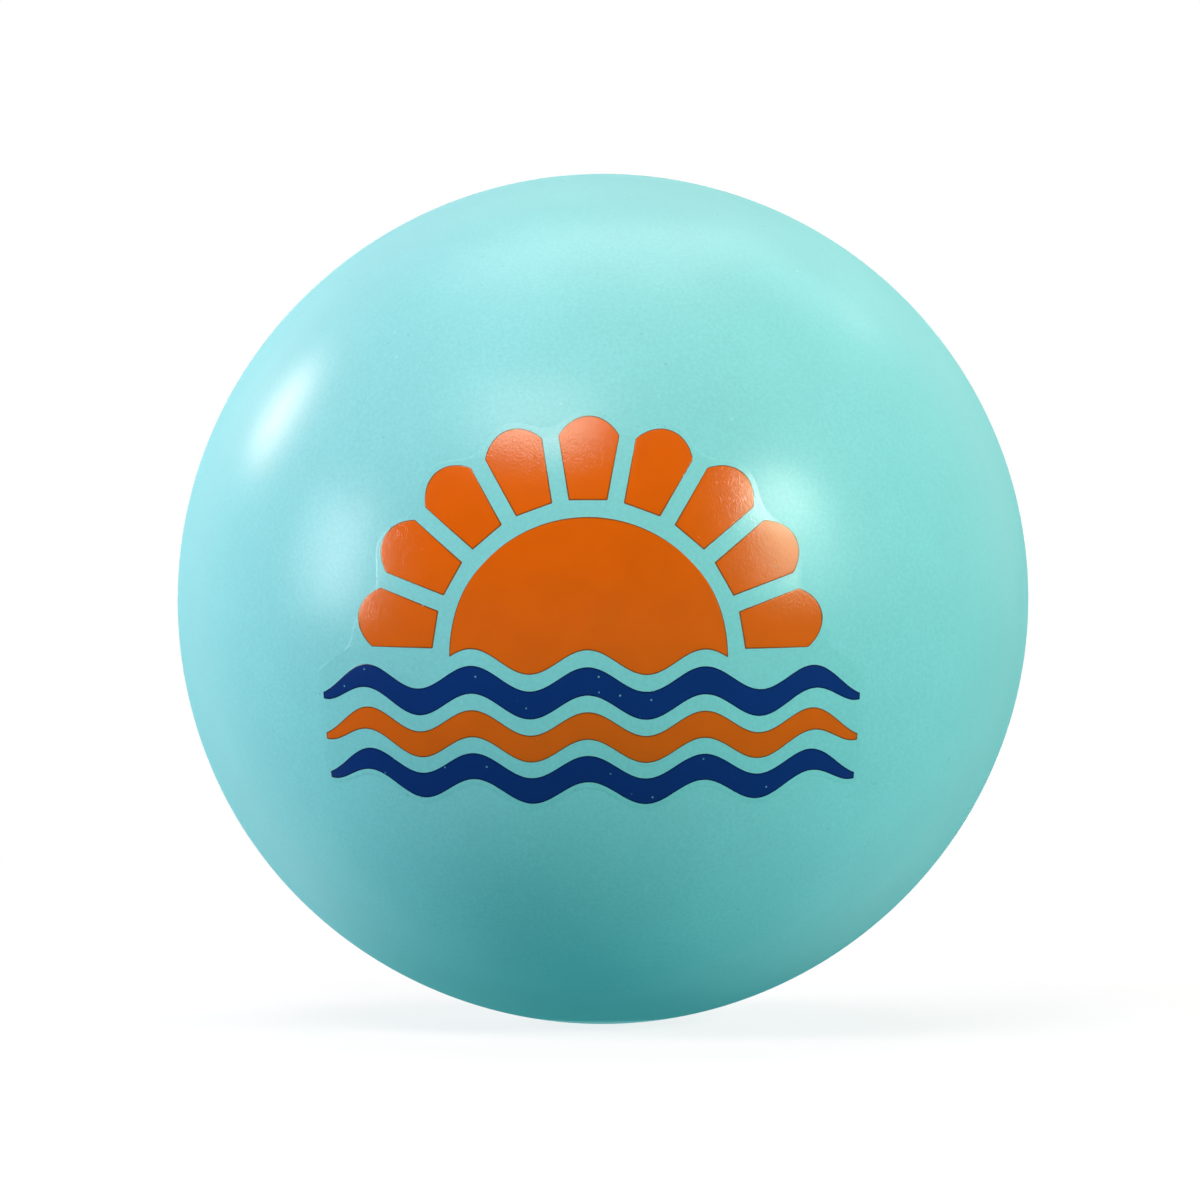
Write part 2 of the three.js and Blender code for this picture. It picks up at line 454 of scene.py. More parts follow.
def new_layer(name, outline, grid, half_size, material, node, slot):
    """A print layer as a piece, with the distance to its own edge kept in an attribute for its material."""
    prints = bpy.context.scene.print_sizes
    if slot == "film":
        heights, edge_width = (-prints.bedding, prints.film_rise), prints.film_edge
    else:
        heights, edge_width = (prints.film_rise - prints.bedding, prints.ink_rise), prints.ink_edge
    sizes = bpy.context.scene.ball_sizes
    points, faces, edge = layer_points(outline, grid, half_size, heights, edge_width, sizes)
    piece = new_piece(name, points, faces, material, node)
    attribute = piece.data.attributes.new(EDGE_DISTANCE, "FLOAT", "POINT")
    attribute.data.foreach_set("value", edge.astype(np.float32))


# Outlines of the print

def ray_tip(prints):
    """Distance from the sun's middle to the rays' tips."""
    return prints.sun_radius + prints.ink_band + prints.ray_length


def water_depth(prints):
    """Height of the waves below the horizon."""
    pitch = prints.wave_width + prints.ink_band
    return prints.ink_band / 2 + (prints.wave_count - 1) * pitch + prints.wave_height + prints.wave_width


def horizon(prints):
    """Level where the sun's base and the first wave meet, placed so that the print is centred."""
    return (water_depth(prints) - ray_tip(prints)) / 2


def swell(across, prints):
    """Height of the water line under its crests: a cosine that is zero at each crest."""
    return prints.wave_height / 2 * (np.cos(2.0 * np.pi * across / prints.wave_spacing) - 1.0)


def near_end(x):
    """Nearly 0 along a wave, rising to 1 at both of its ends: the eighth power of x."""
    return np.abs(x) ** 8


def film_outline(prints):
    """An arch over the rays, scalloped between their tips, that flares out to a skirt around the waves.

    Above the horizon the square is drawn out to a half disc. Its radius dips between the rays by a cosine
    of the angle, and its width grows along a bell curve near the horizon. Below the horizon the shoulders
    droop with the first wave, and the hem follows the last one.
    """
    skirt = prints.wave_reach + prints.film_margin
    depth = water_depth(prints) - prints.wave_height + prints.film_margin

    def outline(x, y):
        above = np.maximum(y, 0.0)
        below = np.minimum(y, 0.0)
        shoulder = swell(skirt * x, prints) * near_end(x) * (1.0 - np.abs(y))
        across = x * np.sqrt(1.0 - above**2 / 2)
        up = above * np.sqrt(1.0 - x**2 / 2)
        between_rays = (1.0 + np.cos(2.0 * prints.ray_count * np.arctan2(up, across))) / 2
        dip = prints.film_scallop * between_rays * np.maximum(np.abs(x), above) ** 2
        arch = ray_tip(prints) + prints.film_margin - dip
        width = arch + (skirt - arch) * np.exp(-((arch * up / prints.film_flare) ** 2))
        hem = depth - swell(skirt * x, prints) - prints.film_corner * near_end(x)
        return width * across, horizon(prints) + arch * up + hem * below + shoulder

    return outline


def sun_outline(prints):
    """The upper half of a square drawn out to a half disc, whose base follows the first wave."""

    def outline(x, y):
        rise = (y + 1.0) / 2
        across = prints.sun_radius * x * np.sqrt(1.0 - rise**2 / 2)
        dome = prints.sun_radius * rise * np.sqrt(1.0 - x**2 / 2)
        base = prints.ink_band / 2 + swell(across, prints)
        return across, horizon(prints) + dome + base * (1.0 - rise)

    return outline


def ray_outline(prints, number):
    """A wedge in the fan, half an ink band clear of its sector's sides, with a domed tip."""
    sector = np.pi / prints.ray_count
    middle = sector * (number + 0.5)
    root = prints.sun_radius + prints.ink_band

    def outline(x, y):
        out = root + (prints.ray_length - prints.ray_dome * x**2) * (y + 1.0) / 2
        side = x * (out * math.tan(sector / 2) - prints.ink_band / 2)
        across = out * math.cos(middle) + side * math.sin(middle)
        up = out * math.sin(middle) - side * math.cos(middle)
        return across, horizon(prints) + up

    return outline


def wave_outline(prints, number):
    """A ribbon along the swell that thins towards both of its tips."""
    crest = horizon(prints) - prints.ink_band / 2 - number * (prints.wave_width + prints.ink_band)

    def outline(x, y):
        across = prints.wave_reach * x
        width = prints.wave_width + (prints.wave_tip_width - prints.wave_width) * near_end(x)
        return across, crest + swell(across, prints) - prints.wave_width / 2 + width / 2 * y

    return outline


# Shader nodes

def fill_socket(tree, socket, value):
    """Links another node's output to the socket, or sets a plain value on it."""
    if isinstance(value, bpy.types.NodeSocket):
        tree.links.new(value, socket)
    else:
        socket.default_value = value


def add_node(tree, kind, settings=None, inputs=None):
    """A node with its settings made and its inputs linked or filled."""
    node = tree.nodes.new(kind)
    for key, value in (settings or {}).items():
        setattr(node, key, value)
    for key, value in (inputs or {}).items():
        fill_socket(tree, node.inputs[key], value)
    return node


def calculate(tree, operation, *values):
    """Output of a Math node."""
    return add_node(tree, "ShaderNodeMath", {"operation": operation}, dict(enumerate(values))).outputs[0]


def vector_math(tree, operation, *values):
    """Outputs of a Vector Math node: first its vector, then its value."""
    node = add_node(tree, "ShaderNodeVectorMath", {"operation": operation}, dict(enumerate(values)))
    return node.outputs


def blend_colours(tree, share, first, second):
    """Output of a Mix node that goes from the first colour to the second."""
    node = add_node(tree, "ShaderNodeMix", {"data_type": "RGBA"}, {0: share})
    for key, value in ((MIX_FIRST, first), (MIX_SECOND, second)):
        is_socket = isinstance(value, bpy.types.NodeSocket)
        fill_socket(tree, node.inputs[key], value if is_socket else (*value, 1.0))
    return node.outputs[MIX_RESULT]


def smooth_range(tree, value, start, end, low=0.0, high=1.0):
    """Output of a Map Range node that eases from low to high as the value goes from start to end."""
    inputs = {"Value": value, "From Min": start, "From Max": end, "To Min": low, "To Max": high}
    node = add_node(tree, "ShaderNodeMapRange", {"interpolation_type": "SMOOTHSTEP"}, inputs)
    return node.outputs["Result"]


def part_of(tree, vector, axis):
    """One axis of a vector."""
    return add_node(tree, "ShaderNodeSeparateXYZ", inputs={0: vector}).outputs[axis]


def noise_at(tree, place, detail, roughness=0.5):
    """Noise from 0 to 1 at a place that is counted in the noise's own size."""
    inputs = {"Vector": place, "Scale": 1.0, "Detail": detail, "Roughness": roughness}
    return add_node(tree, "ShaderNodeTexNoise", inputs=inputs).outputs["Fac"]


def cells_at(tree, place):
    """Outputs of a Voronoi texture at a place that is counted in cells."""
    return add_node(tree, "ShaderNodeTexVoronoi", inputs={"Vector": place, "Scale": 1.0}).outputs


def new_group(name, inputs, output):
    """A shader node group with one value output. An input with no default is a vector."""
    tree = bpy.data.node_groups.new(name, "ShaderNodeTree")
    for label, default in inputs.items():
        kind = "NodeSocketVector" if default is None else "NodeSocketFloat"
        socket = tree.interface.new_socket(label, in_out="INPUT", socket_type=kind)
        if default is not None:
            socket.default_value = default
    tree.interface.new_socket(output, in_out="OUTPUT", socket_type="NodeSocketFloat")
    return tree, tree.nodes.new("NodeGroupInput").outputs, tree.nodes.new("NodeGroupOutput").inputs


def scaled_position(tree, position, size):
    """Position counted in units of the size."""
    per_size = calculate(tree, "DIVIDE", 1.0, size)
    inputs = {0: position, "Scale": per_size}
    return add_node(tree, "ShaderNodeVectorMath", {"operation": "SCALE"}, inputs).outputs[0]


def mottling_group():
    """Soft patches of tone from 0 to 1: three octaves of noise."""
    inputs = {"Position": None, "Patch Size": 6.0 * MM}
    tree, given, result = new_group("Soft mottling", inputs, "Tone")
    noise = noise_at(tree, scaled_position(tree, given["Position"], given["Patch Size"]), detail=2.0)
    tree.links.new(smooth_range(tree, noise, start=0.25, end=0.75), result["Tone"])
    return tree


def grain_group():
    """Fine moulded grain: rough noise at the grain's size, for a tone or a Bump node's height."""
    inputs = {"Position": None, "Grain Size": 0.2 * MM}
    tree, given, result = new_group("Fine grain", inputs, "Height")
    place = scaled_position(tree, given["Position"], given["Grain Size"])
    tree.links.new(noise_at(tree, place, detail=2.0, roughness=0.6), result["Height"])
    return tree


def hammered_group():
    """Small upright ripples of a film that is rolled on: noise that is longer along Z."""
    inputs = {"Position": None, "Ripple Size": RIPPLE_SIZE, "Upright Stretch": RIPPLE_STRETCH}
    tree, given, result = new_group("Hammered film", inputs, "Height")
    place = scaled_position(tree, given["Position"], given["Ripple Size"])
    upright = calculate(tree, "DIVIDE", 1.0, given["Upright Stretch"])
    squeeze = add_node(tree, "ShaderNodeCombineXYZ", inputs={0: 1.0, 1: 1.0, 2: upright}).outputs[0]
    stretched = vector_math(tree, "MULTIPLY", place, squeeze)[0]
    tree.links.new(noise_at(tree, stretched, detail=1.0), result["Height"])
    return tree


def specks_group():
    """Sparse round specks: the middles of Voronoi cells, kept in a share of the cells."""
    inputs = {"Position": None, "Spacing": 1.2 * MM, "Speck Reach": 0.12, "Share": 0.3}
    tree, given, result = new_group("Sparse specks", inputs, "Specks")
    cells = cells_at(tree, scaled_position(tree, given["Position"], given["Spacing"]))
    reach = calculate(tree, "SUBTRACT", given["Speck Reach"], cells["Distance"])
    sharpness = 2.0
    dots = calculate(tree, "MULTIPLY", calculate(tree, "DIVIDE", reach, given["Speck Reach"]), sharpness)
    draw = add_node(tree, "ShaderNodeSeparateColor", inputs={0: cells["Color"]}).outputs[0]
    kept = calculate(tree, "LESS_THAN", draw, given["Share"])
    mask = add_node(tree, "ShaderNodeClamp", inputs={0: calculate(tree, "MULTIPLY", dots, kept)})
    tree.links.new(mask.outputs[0], result["Specks"])
    return tree


def rim_group():
    """Thin line along a print layer's edge: 1 at the edge, and 0 past the line's width."""
    inputs = {"Edge Distance": 0.0, "Width": 0.12 * MM}
    tree, given, result = new_group("Print rim", inputs, "Rim")
    share = calculate(tree, "DIVIDE", given["Edge Distance"], given["Width"])
    tree.links.new(smooth_range(tree, share, start=0.5, end=1.0, low=1.0, high=0.0), result["Rim"])
    return tree


def place_group(tree, build, name, **inputs):
    """Output of a node group, built when first needed. Underscores in input names stand for spaces."""
    node = add_node(tree, "ShaderNodeGroup")
    node.node_tree = bpy.data.node_groups.get(name) or build()
    for key, value in inputs.items():
        fill_socket(tree, node.inputs[key.replace("_", " ")], value)
    return node.outputs[0]


def mottling(tree, position, size):
    """Soft patches of tone of that size."""
    return place_group(tree, mottling_group, "Soft mottling", Position=position, Patch_Size=size)


def fine_grain(tree, position, size):
    """Grain of that size."""
    return place_group(tree, grain_group, "Fine grain", Position=position, Grain_Size=size)


def specks(tree, position, spacing, reach, share):
    """Sparse specks, spaced and sized so, in a share of the cells."""
    inputs = {"Position": position, "Spacing": spacing, "Speck_Reach": reach, "Share": share}
    return place_group(tree, specks_group, "Sparse specks", **inputs)


def print_rim(tree, width):
    """A line of that width along the print layer's own edge."""
    distance = add_node(tree, "ShaderNodeAttribute", {"attribute_name": EDGE_DISTANCE}).outputs["Fac"]
    return place_group(tree, rim_group, "Print rim", Edge_Distance=distance, Width=width)


def shade(colour_value, factor):
    """The colour made lighter or darker by the factor."""
    return tuple(min(1.0, factor * channel) for channel in colour_value)


def mottled(tree, position, base, size, contrast):
    """The colour in soft patches of that size, lighter and darker by the contrast."""
    return blend_colours(
        tree, mottling(tree, position, size), shade(base, 1.0 - contrast), shade(base, 1.0 + contrast)
    )


def spotted(tree, colour_now, mask, strength, spot_colour):
    """The colour with another one laid over it where the mask is, at that strength."""
    return blend_colours(tree, calculate(tree, "MULTIPLY", mask, strength), colour_now, spot_colour)


def new_material(name, roughness, gloss):
    """A material with its node tree, its Principled shader and the object's coordinates."""
    material = bpy.data.materials.new(name)
    material.use_nodes = True
    tree = material.node_tree
    shader = tree.nodes["Principled BSDF"]
    shader.inputs["Roughness"].default_value = roughness
    shader.inputs["Specular IOR Level"].default_value = gloss
    position = tree.nodes.new("ShaderNodeTexCoord").outputs["Object"]
    return material, tree, shader, position


def bump(tree, shader, height, depth, socket="Normal"):
    """Makes the height, from 0 to 1, stand that deep on the shader's surface or on its coat."""
    inputs = {"Strength": 1.0, "Distance": depth, "Height": height}
    node = add_node(tree, "ShaderNodeBump", inputs=inputs)
    tree.links.new(node.outputs["Normal"], shader.inputs[socket])


def seen_edge_on(tree, low, high):
    """Eases from low, where the surface faces the viewer, to high, where it is seen edge on."""
    facing = add_node(tree, "ShaderNodeLayerWeight", inputs={"Blend": 0.5}).outputs["Facing"]
    return smooth_range(tree, facing, start=0.6, end=0.95, low=low, high=high)


def grazing_bloom(tree, shader):
    """Makes the surface duller where it is seen edge on, as the bloom on soft rubber does."""
    roughness = shader.inputs["Roughness"]
    tree.links.new(seen_edge_on(tree, roughness.default_value, BLOOM_ROUGHNESS), roughness)


def rippled_coat(tree, shader, position, share=None, weight=1.0):
    """A thin clear coat with the ripples of the press, over all of the surface or a share of it.

    The ripples are faint on the surface, and deeper on the coat, where they sparkle in the shine.
    """
    shader.inputs["Coat Roughness"].default_value = COAT_ROUGHNESS
    shader.inputs["Coat IOR"].default_value = COAT_IOR
    shown = seen_edge_on(tree, weight, 0.0)
    ripples = place_group(tree, hammered_group, "Hammered film", Position=position)
    if share is not None:
        shown = calculate(tree, "MULTIPLY", share, shown)
        ripples = calculate(tree, "MULTIPLY", ripples, share)
    tree.links.new(shown, shader.inputs["Coat Weight"])
    bump(tree, shader, ripples, SURFACE_RIPPLE_DEPTH)
    per_metre = (1.0 / RIPPLE_SIZE, 1.0 / RIPPLE_SIZE, 1.0 / (RIPPLE_STRETCH * RIPPLE_SIZE))
    counted = add_node(tree, "ShaderNodeMapping", inputs={"Vector": position, "Scale": per_metre})
    coat_ripples = noise_at(tree, counted.outputs[0], detail=1.0)
    bump(tree, shader, coat_ripples, COAT_RIPPLE_DEPTH, "Coat Normal")


def moulded_tone(tree, position, base):
    """The skin's colour: soft mottling, and a grain of darker tone that is fainter towards the seam."""
    grain = smooth_range(tree, fine_grain(tree, position, size=0.24 * MM), start=0.3, end=0.7)
    along = calculate(tree, "ABSOLUTE", part_of(tree, position, "Y"))
    off_seam = smooth_range(tree, along, start=6.0 * MM, end=26.0 * MM)
    strength = smooth_range(tree, off_seam, start=0.0, end=1.0, low=0.08, high=0.17)
    colour_now = mottled(tree, position, base, size=5.0 * MM, contrast=0.015)
    return spotted(tree, colour_now, grain, strength, shade(base, 0.55))


def pressed_share(tree, position):
    """1 on the front skin within reach of the hot press, fading to 0 around it."""
    prints = bpy.context.scene.print_sizes
    flat = vector_math(tree, "MULTIPLY", position, (1.0, 0.0, 1.0))[0]
    reach = vector_math(tree, "LENGTH", flat)[1]
    near = smooth_range(tree, reach, prints.press_reach, prints.press_reach + prints.press_fade, 1.0, 0.0)
    in_front = calculate(tree, "LESS_THAN", part_of(tree, position, "Y"), 0.0)
    return calculate(tree, "MULTIPLY", near, in_front)


# Finishes

def rubber_skin():
    """Satin moulded rubber: mottling, fine grain and sparse specks in its tone, and a glossier front."""
    base = bpy.context.scene.ball_colours.skin
    pale_dust = (0.8, 0.95, 0.95)
    material, tree, shader, position = new_material("Rubber skin", roughness=0.31, gloss=0.16)
    colour_now = moulded_tone(tree, position, base)
    dark = specks(tree, position, spacing=1.6 * MM, reach=0.09, share=0.25)
    colour_now = spotted(tree, colour_now, dark, strength=0.3, spot_colour=shade(base, 0.5))
    pale = specks(tree, position, spacing=2.3 * MM, reach=0.06, share=0.25)
    colour_now = spotted(tree, colour_now, pale, strength=0.15, spot_colour=pale_dust)
    tree.links.new(colour_now, shader.inputs["Base Color"])
    grazing_bloom(tree, shader)
    rippled_coat(tree, shader, position, share=pressed_share(tree, position), weight=0.18)
    return material


def clear_film():
    """Glossy hammered film over the skin's colour, thinner and dusty along its edge."""
    base = bpy.context.scene.ball_colours.film
    material, tree, shader, position = new_material("Clear film", roughness=0.31, gloss=0.16)
    colour_now = moulded_tone(tree, position, base)
    dust = specks(tree, position, spacing=0.5 * MM, reach=0.2, share=0.3)
    dusty = calculate(tree, "MULTIPLY", dust, print_rim(tree, width=0.8 * MM))
    colour_now = spotted(tree, colour_now, dusty, strength=0.5, spot_colour=shade(base, 0.4))
    tree.links.new(colour_now, shader.inputs["Base Color"])
    grazing_bloom(tree, shader)
    edge_thinning = 0.6
    thinned = calculate(tree, "MULTIPLY", print_rim(tree, width=1.0 * MM), edge_thinning)
    rippled_coat(tree, shader, position, share=calculate(tree, "SUBTRACT", 1.0, thinned))
    return material


def glossy_ink(name, base, rim_colour, shine, pinhole_share):
    """Glossy ink: uneven density, a thin dark edge line, pinholes to the film, and the film's ripples."""
    film = bpy.context.scene.ball_colours.film
    material, tree, shader, position = new_material(name, roughness=0.27, gloss=0.25)
    shader.inputs["Specular Tint"].default_value = (*shine, 1.0)
    colour_now = mottled(tree, position, base, size=2.5 * MM, contrast=0.03)
    edge_line = print_rim(tree, width=0.15 * MM)
    colour_now = spotted(tree, colour_now, edge_line, strength=0.92, spot_colour=rim_colour)
    pinholes = specks(tree, position, spacing=0.7 * MM, reach=0.12, share=pinhole_share)
    colour_now = spotted(tree, colour_now, pinholes, strength=0.6, spot_colour=film)
    tree.links.new(colour_now, shader.inputs["Base Color"])
    grazing_bloom(tree, shader)
    rippled_coat(tree, shader, position)
    return material


def orange_ink():
    """Orange ink with a brown edge line and few pinholes."""
    base = bpy.context.scene.ball_colours.orange_ink
    brown = (0.16, 0.045, 0.008)
    green_shine = (0.0, 1.0, 0.4)
    material = bpy.data.materials.get("Orange ink")
    return material or glossy_ink("Orange ink", base, brown, green_shine, pinhole_share=0.04)


def navy_ink():
    """Navy ink with a near-black edge line and more pinholes."""
    base = bpy.context.scene.ball_colours.navy_ink
    near_black = (0.001, 0.01, 0.05)
    low_shine = (0.4, 0.4, 0.4)
    material = bpy.data.materials.get("Navy ink")
    return material or glossy_ink("Navy ink", base, near_black, low_shine, pinhole_share=0.15)


def cell_foam():
    """Matte closed-cell foam: pale cells with slightly darker walls, pressed in where a cell is open."""
    base = bpy.context.scene.ball_colours.foam
    material, tree, shader, position = new_material("Cell foam", roughness=0.95, gloss=0.2)
    cells = cells_at(tree, scaled_position(tree, position, size=0.6 * MM))["Distance"]
    walls = smooth_range(tree, cells, start=0.2, end=0.8)
    colour_now = blend_colours(tree, walls, base, shade(base, 0.8))
    patches = mottling(tree, position, size=5.0 * MM)
    colour_now = spotted(tree, colour_now, patches, strength=0.3, spot_colour=shade(base, 0.85))
    tree.links.new(colour_now, shader.inputs["Base Color"])
    bump(tree, shader, cells, depth=0.12 * MM)
    return material


def cured_glue():
    """Cured glue: slightly uneven in tone, with a fine grain."""
    base = bpy.context.scene.ball_colours.glue
    material, tree, shader, position = new_material("Cured glue", roughness=0.5, gloss=0.4)
    colour_now = blend_colours(tree, mottling(tree, position, size=2.0 * MM), shade(base, 0.8), base)
    tree.links.new(colour_now, shader.inputs["Base Color"])
    bump(tree, shader, fine_grain(tree, position, size=0.3 * MM), depth=0.02 * MM)
    return material


# Stage

def place_round(azimuth, elevation, distance):
    """Point at that distance from the ball's centre. Azimuth 0 is in front, and 90 degrees on the right."""
    flat = math.cos(elevation) * distance
    return Vector((math.sin(azimuth) * flat, -math.cos(azimuth) * flat, math.sin(elevation) * distance))


def add_softbox(name, lamp, settings):
    """A rectangular light that faces the ball, with its brightness given as a surface's, where 1 is white.

    Roll turns it about the line from it to the ball.
    """
    light = bpy.data.lights.new(name, "AREA")
    light.shape = "RECTANGLE"
    light.size = lamp.width
    light.size_y = lamp.height
    light.energy = math.pi * lamp.width * lamp.height * getattr(settings, name)
    light.color = lamp.tint
    softbox = new_object(name, light)
    azimuth, elevation, roll = map(math.radians, (lamp.azimuth, lamp.elevation, lamp.roll))
    softbox.location = place_round(azimuth, elevation, settings.lamp_distance)
    facing = (-softbox.location).to_track_quat("-Z", "Y")
    softbox.rotation_euler = (facing @ Quaternion((0.0, 0.0, 1.0), roll)).to_euler()
    softbox.visible_camera = False
    softbox.visible_glossy = name not in SOFT_LAMPS
    softbox.visible_diffuse = name not in SHINE_LAMPS


def white_share(tree):
    """1 for rays from the camera, off gloss and through clear surfaces, which see a white background."""
    path = tree.nodes.new("ShaderNodeLightPath").outputs
    shown = calculate(tree, "MAXIMUM", path["Is Camera Ray"], path["Is Glossy Ray"])
    return calculate(tree, "MAXIMUM", shown, path["Is Transmission Ray"])


def add_room(under_light):
    """A white background that lights the ball only from below, with the colour given."""
    world = bpy.data.worlds.new("Room")
    world.use_nodes = True
    tree = world.node_tree
    tree.nodes.clear()
    direction = tree.nodes.new("ShaderNodeTexCoord").outputs["Generated"]
    upward = smooth_range(tree, part_of(tree, direction, "Z"), start=-0.05, end=0.05)
    light = blend_colours(tree, upward, under_light, BLACK)
    room = add_node(tree, "ShaderNodeBackground", inputs={"Color": light, "Strength": 1.0})
    white = add_node(tree, "ShaderNodeBackground", inputs={"Color": (*WHITE, 1.0), "Strength": 1.0})
    shares = {0: white_share(tree), 1: room.outputs[0], 2: white.outputs[0]}
    mixed = add_node(tree, "ShaderNodeMixShader", inputs=shares)
    add_node(tree, "ShaderNodeOutputWorld", inputs={"Surface": mixed.outputs[0]})
    bpy.context.scene.world = world


def stage_material(name):
    """An empty material of the set, with its node tree and the object's coordinates."""
    material = bpy.data.materials.new(name)
    material.use_nodes = True
    tree = material.node_tree
    tree.nodes.clear()
    return material, tree, tree.nodes.new("ShaderNodeTexCoord").outputs["Object"]


def floor_finish(clear_from=0.06, clear_to=0.2, grey=0.22, glow=0.79):
    """Pale floor that keeps the ball's shadow close by and goes over to plain white further out."""
    material, tree, position = stage_material("Pale floor")
    far = smooth_range(tree, vector_math(tree, "LENGTH", position)[1], clear_from, clear_to)
    pale = add_node(tree, "ShaderNodeBsdfDiffuse", inputs={"Color": (grey, grey, grey, 1.0)})
    lift = add_node(tree, "ShaderNodeEmission", inputs={"Strength": glow})
    near_white = add_node(tree, "ShaderNodeAddShader", inputs={0: pale.outputs[0], 1: lift.outputs[0]})
    far_white = add_node(tree, "ShaderNodeEmission", inputs={"Strength": 1.0})
    shares = {0: far, 1: near_white.outputs[0], 2: far_white.outputs[0]}
    shown = add_node(tree, "ShaderNodeMixShader", inputs=shares)
    add_node(tree, "ShaderNodeOutputMaterial", inputs={"Surface": shown.outputs[0]})
    return material


def stage_sheet(name, points, material):
    """A sheet of the set, from a grid of points. It isn't part of the ball."""
    faces = quads_of(grid_index(*points.shape[:2])).tolist()
    sheet = new_object(name, new_mesh(name, points, faces, material))
    sheet.visible_diffuse = False
    sheet.visible_shadow = False
    return sheet


def add_floor(half_width=3.0, steps=13):
    """A flat square floor under the ball. The light that it sends up is part of the room's."""
    lines = np.linspace(-half_width, half_width, steps)
    x, y = np.meshgrid(lines, lines)
    points = np.stack([x, y, np.full_like(x, cad_box[0].z)], axis=-1)
    stage_sheet("floor", points, floor_finish())


def card_finish(name, tone, painted_shadow_reach=9.0 * MM, fade_reach=32.0 * MM, left_offset=4.0 * MM):
    """A card that glows with that tone in reflections, with a painted contact shadow where the ball stands
    on it.
    """
    material, tree, position = stage_material(name)
    foot = (-left_offset, 0.0, cad_box[0].z)
    reach = vector_math(tree, "LENGTH", vector_math(tree, "SUBTRACT", position, foot)[0])[1]
    # Painted contact shadow: the card's glow fades to nothing near the ball's foot
    strength = smooth_range(tree, reach, painted_shadow_reach, fade_reach, 0.0, tone)
    shown = add_node(tree, "ShaderNodeEmission", inputs={"Strength": strength})
    add_node(tree, "ShaderNodeOutputMaterial", inputs={"Surface": shown.outputs[0]})
    return material


def add_card(name, out, up, sides, tone, lift=0.5 * MM, steps=9):
    """A card that is seen only in the ball's reflections: a path of (out, up) points carried across.

    Out is counted from the ball's centre to the front, and up from the floor. The sides are where the card
    starts on the left and ends on the right.
    """
    across = np.linspace(*sides, steps)
    points = np.stack([
        across + 0.0 * out[:, None],
        -out[:, None] + 0.0 * across,
        cad_box[0].z + lift + up[:, None] + 0.0 * across,
    ], axis=-1)
    stage_sheet(name, points, card_finish(name, tone)).visible_camera = False


def add_cards(foot=0.012, rear=-1.2, half_width=2.0, bend_start=0.6, bend_radius=0.5, heights=(1.0, 1.6)):
    """A dark card on the floor that bends up in front of the ball, and two pale ones flat behind it."""
    bend = np.linspace(0.0, np.pi / 2, num=13)
    along_floor = np.linspace(foot, bend_start, num=9)[:-1]
    wall = bend_start + bend_radius
    out = np.concatenate([along_floor, bend_start + bend_radius * np.sin(bend), [wall, wall]])
    up = np.concatenate([0.0 * along_floor, bend_radius * (1.0 - np.cos(bend)), heights])
    add_card("dark_card", out, up, (-half_width, half_width), tone=0.03)
    behind = np.linspace(rear, foot, num=7)
    add_card("left_card", behind, 0.0 * behind, (-half_width, 0.0), tone=0.9)
    add_card("right_card", behind, 0.0 * behind, (0.0, half_width), tone=0.5)


def add_camera(settings):
    """A long lens at the photograph's angle, aimed slightly off the ball's centre."""
    camera = bpy.data.cameras.new("Camera")
    camera.sensor_width = 36.0
    camera.lens = camera.sensor_width * settings.view_distance / settings.view_width
    camera.clip_start = 0.01
    camera.clip_end = 20.0
    place = new_object("Camera", camera)
    back = place_round(settings.view_azimuth, settings.view_elevation, settings.view_distance)
    turn = (-back).to_track_quat("-Z", "Y")
    place.location = back + turn @ Vector((-settings.aim_left, -settings.aim_down, 0.0))
    place.rotation_euler = turn.to_euler()
    bpy.context.scene.camera = place


# Operators

class BALL_OT_foam_core(bpy.types.Operator):
    """Make the pitted foam core"""

    bl_idname = "ball.foam_core"
    bl_label = "Foam core"

    def execute(self, context):
        points, faces = core_points(context.scene.ball_sizes)
        core = new_piece("foam_core_cells", points, faces, cell_foam(), "foam_core")
        return {"FINISHED"}


class BALL_OT_rubber_halves(bpy.types.Operator):
    """Make the two rubber halves with their rounded lips"""

    bl_idname = "ball.rubber_halves"
    bl_label = "Rubber halves"

    def execute(self, context):
        skin = rubber_skin()
        for node, facing in (("front_half", 1.0), ("rear_half", -1.0)):
            points, faces = half_points(context.scene.ball_sizes, facing)
            new_piece(node + "_skin", points, faces, skin, node)
        return {"FINISHED"}


class BALL_OT_seam_bond(bpy.types.Operator):
    """Make the glue ring in the seam"""

    bl_idname = "ball.seam_bond"
    bl_label = "Seam bond"

    def execute(self, context):
        points, faces = bead_points(context.scene.ball_sizes)
        new_piece("seam_bond_bead", points, faces, cured_glue(), "seam_bond")
        return {"FINISHED"}


class BALL_OT_print_film(bpy.types.Operator):
    """Make the clear film that carries the inks"""

    bl_idname = "ball.print_film"
    bl_label = "Print film"

    def execute(self, context):
        prints = context.scene.print_sizes
        grid = (150, 130)
        half_size = (prints.wave_reach, ray_tip(prints))
        outline = film_outline(prints)
        new_layer("print_film_sheet", outline, grid, half_size, clear_film(), "print_film", "film")
        return {"FINISHED"}


class BALL_OT_sun_print(bpy.types.Operator):
    """Make the half sun"""

    bl_idname = "ball.sun_print"
    bl_label = "Sun print"

    def execute(self, context):
        prints = context.scene.print_sizes
        grid = (100, 60)
        half_size = (prints.sun_radius, prints.sun_radius / 2)
        outline = sun_outline(prints)
        new_layer("sun_ink", outline, grid, half_size, orange_ink(), "sun_print", "orange_ink")
        return {"FINISHED"}


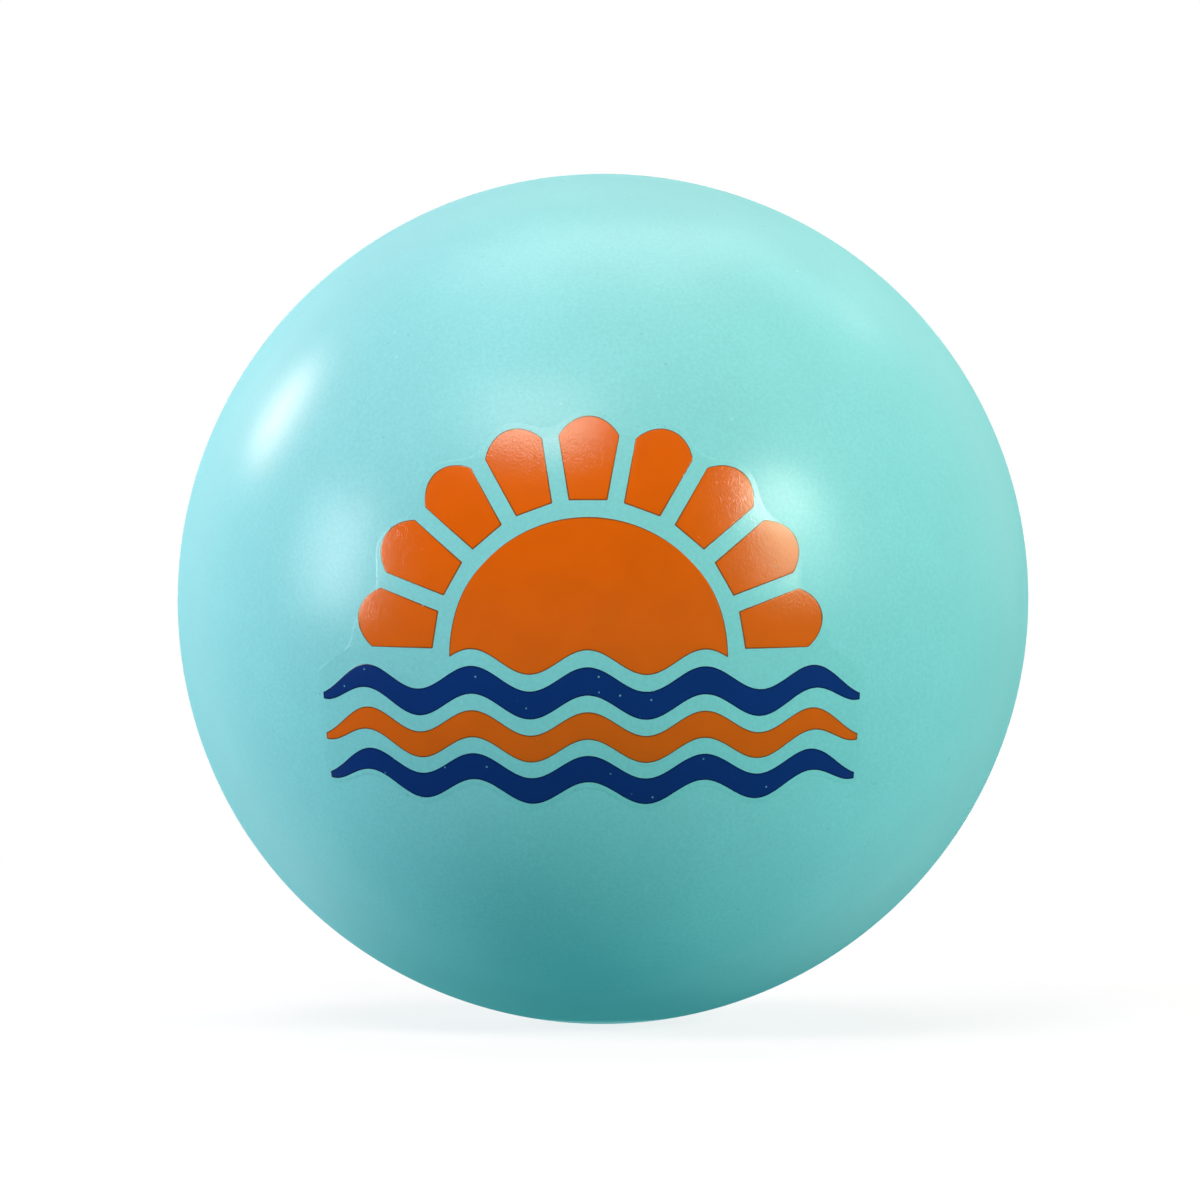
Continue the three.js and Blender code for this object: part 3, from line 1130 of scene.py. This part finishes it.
class BALL_OT_ray_prints(bpy.types.Operator):
    """Make the fan of rays"""

    bl_idname = "ball.ray_prints"
    bl_label = "Ray prints"

    def execute(self, context):
        prints = context.scene.print_sizes
        grid = (24, 36)
        half_width = prints.sun_radius * math.tan(math.pi / prints.ray_count / 2)
        half_size = (half_width, prints.ray_length / 2)
        for number in range(prints.ray_count):
            name, node = f"ray_ink_{number + 1}", f"ray_print_{number + 1}"
            outline = ray_outline(prints, number)
            new_layer(name, outline, grid, half_size, orange_ink(), node, "orange_ink")
        return {"FINISHED"}


class BALL_OT_wave_prints(bpy.types.Operator):
    """Make the waves, navy and orange in turn"""

    bl_idname = "ball.wave_prints"
    bl_label = "Wave prints"

    def execute(self, context):
        prints = context.scene.print_sizes
        grid = (240, 16)
        half_size = (prints.wave_reach, prints.wave_width / 2)
        inks = ((navy_ink, "navy_ink"), (orange_ink, "orange_ink"))
        for number in range(prints.wave_count):
            name, node = f"wave_ink_{number + 1}", f"wave_print_{number + 1}"
            ink, slot = inks[number % 2]
            outline = wave_outline(prints, number)
            new_layer(name, outline, grid, half_size, ink(), node, slot)
        return {"FINISHED"}


class BALL_OT_stage(bpy.types.Operator):
    """Make the floor, the cards, the room, the lamps and the camera"""

    bl_idname = "ball.stage"
    bl_label = "Stage"

    def execute(self, context):
        settings = context.scene.stage_settings
        context.scene.view_settings.view_transform = "Standard"
        add_floor()
        add_cards()
        add_room(settings.under_light)
        for name, lamp in LAMPS.items():
            add_softbox(name, lamp, settings)
        add_camera(settings)
        return {"FINISHED"}


class BALL_PT_pieces(bpy.types.Panel):
    """Lists the ball's pieces and its stage"""

    bl_idname = "BALL_PT_pieces"
    bl_label = "Water Bouncing Ball"
    bl_space_type = "VIEW_3D"
    bl_region_type = "UI"
    bl_category = "Ball"

    def draw(self, context):
        for operator in OPERATORS:
            self.layout.operator(operator.bl_idname)
        for group in PROPERTY_GROUPS:
            self.layout.label(text=label_of(group))
            settings = getattr(context.scene, group)
            for name in settings.bl_rna.properties.keys():
                if name not in ("rna_type", "name"):
                    self.layout.prop(settings, name)


OPERATORS = (
    BALL_OT_foam_core,
    BALL_OT_rubber_halves,
    BALL_OT_seam_bond,
    BALL_OT_print_film,
    BALL_OT_sun_print,
    BALL_OT_ray_prints,
    BALL_OT_wave_prints,
    BALL_OT_stage,
)

PROPERTY_GROUPS = {
    "ball_sizes": BallSizes,
    "print_sizes": PrintSizes,
    "ball_colours": BallColours,
    "stage_settings": StageSettings,
}

CLASSES = (*PROPERTY_GROUPS.values(), *OPERATORS, BALL_PT_pieces)


def register():
    """Registers the classes and hangs the property groups on the scene."""
    for kind in CLASSES:
        bpy.utils.register_class(kind)
    for name, group in PROPERTY_GROUPS.items():
        setattr(bpy.types.Scene, name, PointerProperty(type=group))


def unregister():
    """Takes back what register made, in the opposite order."""
    for name in reversed(PROPERTY_GROUPS):
        delattr(bpy.types.Scene, name)
    for kind in reversed(CLASSES):
        bpy.utils.unregister_class(kind)


def main():
    register()
    bpy.ops.ball.foam_core()
    bpy.ops.ball.rubber_halves()
    bpy.ops.ball.seam_bond()
    bpy.ops.ball.print_film()
    bpy.ops.ball.sun_print()
    bpy.ops.ball.ray_prints()
    bpy.ops.ball.wave_prints()
    bpy.ops.ball.stage()


if __name__ == "__main__":
    main()
